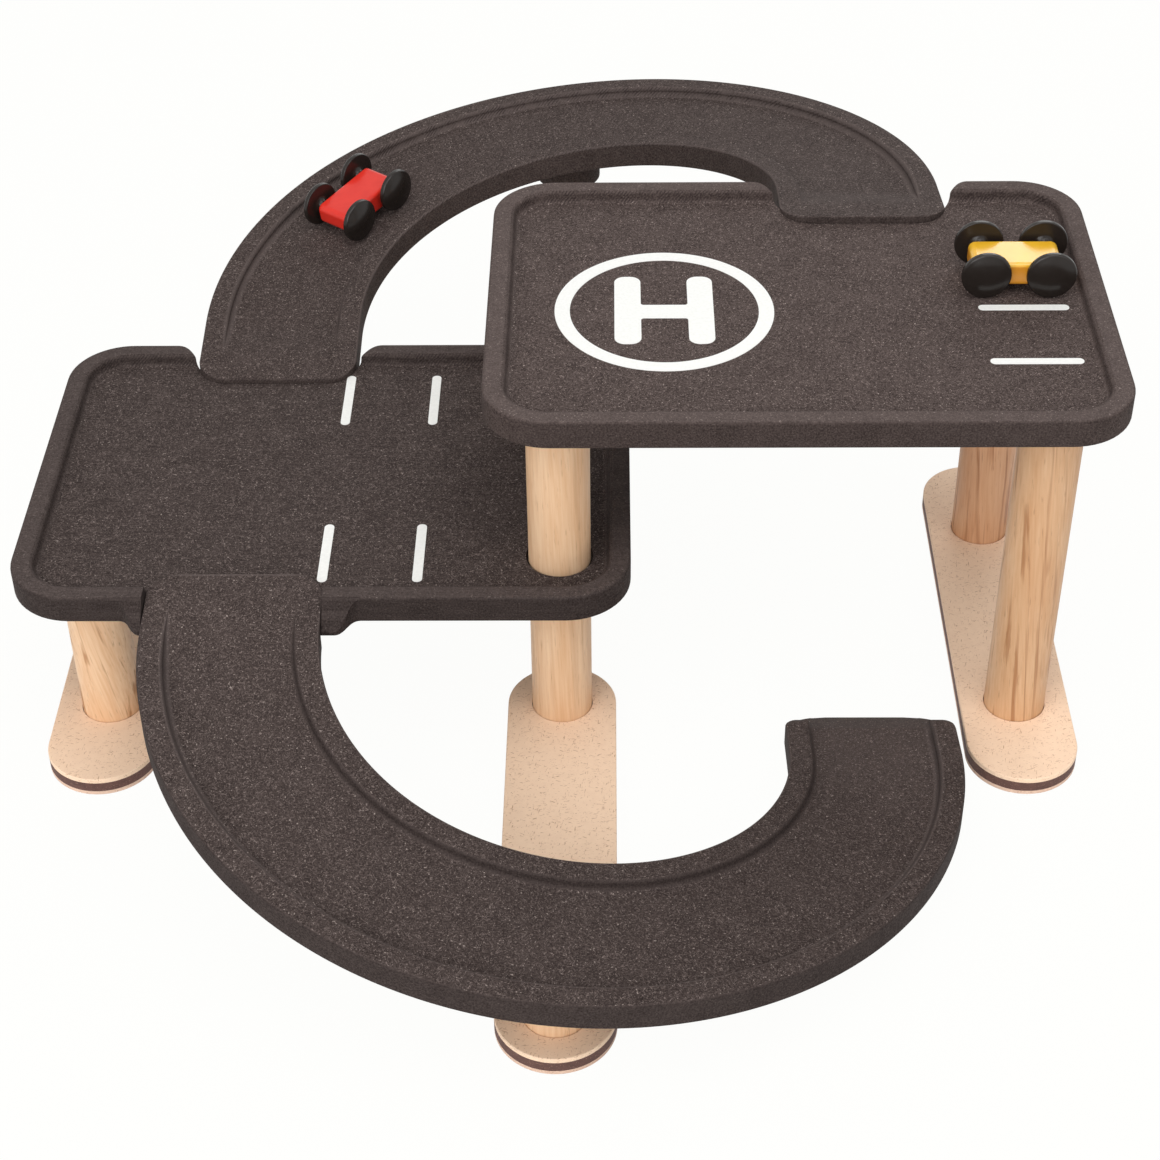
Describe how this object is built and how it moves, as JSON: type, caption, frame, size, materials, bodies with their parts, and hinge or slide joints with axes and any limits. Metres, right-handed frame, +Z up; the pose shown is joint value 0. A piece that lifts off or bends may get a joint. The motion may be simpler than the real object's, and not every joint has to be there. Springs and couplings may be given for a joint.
{
  "type": "toy parking garage",
  "caption": "Wooden toy parking garage with tray decks on dowel posts, curved ramps between the levels and small rolling cars.",
  "frame": {"origin": "on the ground under the middle of the plan, half way between the decks' shared posts", "axes": "+X from the lower deck to the upper deck, +Y from the front ramp to the back ramp, +Z up"},
  "size_m": [0.437, 0.529, 0.1858],
  "materials": {
    "dark_board": "matt pressed wood-fibre board, dark stained through",
    "post_wood": "sanded pale hardwood, clear satin oil",
    "pale_board": "matt pressed sawdust board with fine specks",
    "brown_board": "matt dark pressed board",
    "red_paint": "gloss paint on wood",
    "yellow_paint": "gloss paint on wood",
    "black_plastic": "polished black",
    "screw_steel": "plain zinc-plated steel"
  },
  "bodies": {
    "garage": {"upper_deck": "dark_board", "lower_deck": "dark_board", "back_ramp": "dark_board", "back_ramp_boss": "dark_board", "front_ramp": "dark_board", "front_ramp_boss": "dark_board", "left_front_post": "post_wood", "left_front_screw": "screw_steel", "left_back_post": "post_wood", "left_back_screw": "screw_steel", "middle_front_lower_post": "post_wood", "middle_front_lower_screw": "screw_steel", "middle_back_lower_post": "post_wood", "middle_back_lower_screw": "screw_steel", "right_front_post": "post_wood", "right_front_screw": "screw_steel", "right_back_post": "post_wood", "right_back_screw": "screw_steel", "front_ramp_post": "post_wood", "front_ramp_screw": "screw_steel", "back_ramp_post": "post_wood", "back_ramp_screw": "screw_steel", "middle_front_upper_post": "post_wood", "middle_front_peg": "post_wood", "middle_back_upper_post": "post_wood", "middle_back_peg": "post_wood", "left_foot_top": "pale_board", "left_foot_core": "brown_board", "left_foot_base": "pale_board", "right_foot_top": "pale_board", "right_foot_core": "brown_board", "right_foot_base": "pale_board", "middle_front_foot_top": "pale_board", "middle_front_foot_core": "brown_board", "middle_front_foot_base": "pale_board", "middle_back_foot_top": "pale_board", "middle_back_foot_core": "brown_board", "middle_back_foot_base": "pale_board"},
    "yellow_car": {"yellow_car_body": "yellow_paint"},
    "yellow_car_front_wheels": {"yellow_car_front_axle": "black_plastic", "yellow_car_front_left_wheel": "black_plastic", "yellow_car_front_right_wheel": "black_plastic"},
    "yellow_car_rear_wheels": {"yellow_car_rear_axle": "black_plastic", "yellow_car_rear_left_wheel": "black_plastic", "yellow_car_rear_right_wheel": "black_plastic"},
    "red_car": {"red_car_body": "red_paint"},
    "red_car_front_wheels": {"red_car_front_axle": "black_plastic", "red_car_front_left_wheel": "black_plastic", "red_car_front_right_wheel": "black_plastic"},
    "red_car_rear_wheels": {"red_car_rear_axle": "black_plastic", "red_car_rear_left_wheel": "black_plastic", "red_car_rear_right_wheel": "black_plastic"}
  },
  "joints": [
    {"name": "yellow_car_roll", "type": "slide", "parent": "garage", "child": "yellow_car", "axis": [-1, 0, 0], "range_m": [-0.003, 0.15]},
    {"name": "yellow_car_front_spin", "type": "hinge", "parent": "yellow_car", "child": "yellow_car_front_wheels", "pos_m": [0.1965, 0.0199, 0.1758], "axis": [0, -1, 0], "continuous": true},
    {"name": "yellow_car_rear_spin", "type": "hinge", "parent": "yellow_car", "child": "yellow_car_rear_wheels", "pos_m": [0.1705, 0.0199, 0.1758], "axis": [0, -1, 0], "continuous": true},
    {"name": "red_car_roll", "type": "hinge", "parent": "garage", "child": "red_car", "pos_m": [0.00282, 0.09962, 0.10618], "axis": [-0.1049, -0.1342, 0.9854], "range_deg": [-10, 10]},
    {"name": "red_car_front_spin", "type": "hinge", "parent": "red_car", "child": "red_car_front_wheels", "pos_m": [-0.10634, 0.16649, 0.11381], "axis": [0.788, -0.6157, 0], "continuous": true},
    {"name": "red_car_rear_spin", "type": "hinge", "parent": "red_car", "child": "red_car_rear_wheels", "pos_m": [-0.09057, 0.18668, 0.11824], "axis": [0.788, -0.6157, 0], "continuous": true}
  ],
  "couplings": [
    {"joint": "yellow_car_front_spin", "follows": "yellow_car_roll", "rad_per_m": 100},
    {"joint": "yellow_car_rear_spin", "follows": "yellow_car_roll", "rad_per_m": 100},
    {"joint": "red_car_front_spin", "follows": "red_car_roll", "ratio": 12.719},
    {"joint": "red_car_rear_spin", "follows": "red_car_roll", "ratio": 12.719}
  ]
}
